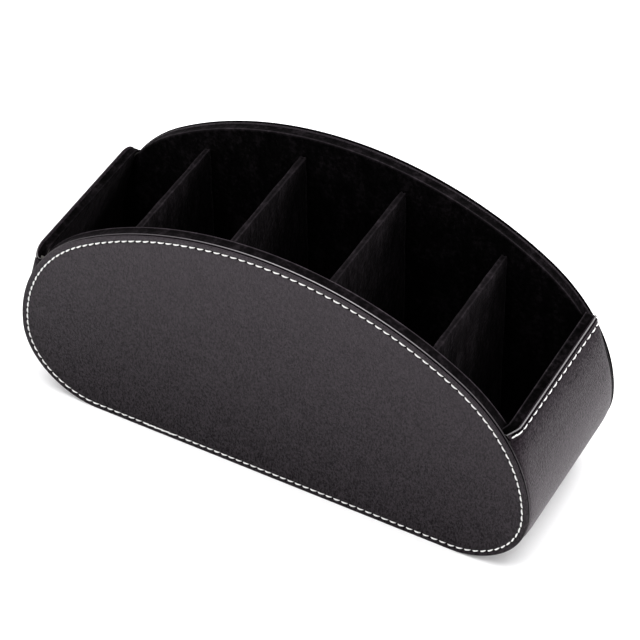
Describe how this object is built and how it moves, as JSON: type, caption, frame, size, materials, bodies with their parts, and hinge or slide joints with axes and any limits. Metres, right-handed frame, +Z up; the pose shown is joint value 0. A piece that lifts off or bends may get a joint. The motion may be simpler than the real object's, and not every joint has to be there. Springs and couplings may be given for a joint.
{
  "type": "remote control holder",
  "caption": "Leather covered desk holder for remote controls: long rounded body with arched front and back, open top, velvet lining and upright dividers.",
  "frame": {"origin": "on the floor, at the middle of the holder's length and depth", "axes": "+X along the length to the right seen from the front, +Y from the front panel to the back panel, +Z up"},
  "size_m": [0.2654, 0.0908, 0.136],
  "materials": {
    "leather": "smooth black leather with a fine grain",
    "board": "plain grey brown fibreboard",
    "velvet": "black velvet",
    "thread": "white sewing thread"
  },
  "bodies": {
    "root": {"front_leather": "leather", "front_board": "board", "front_lining": "velvet", "front_stitching": "thread", "back_leather": "leather", "back_board": "board", "back_lining": "velvet", "back_stitching": "thread", "wrap_leather": "leather", "left_end_board": "board", "base_board": "board", "right_end_board": "board", "wrap_lining": "velvet", "left_end_stitching": "thread", "right_end_stitching": "thread", "divider_1_card": "board", "divider_1_velvet": "velvet", "divider_2_card": "board", "divider_2_velvet": "velvet", "divider_3_card": "board", "divider_3_velvet": "velvet", "divider_4_card": "board", "divider_4_velvet": "velvet"}
  },
  "joints": []
}
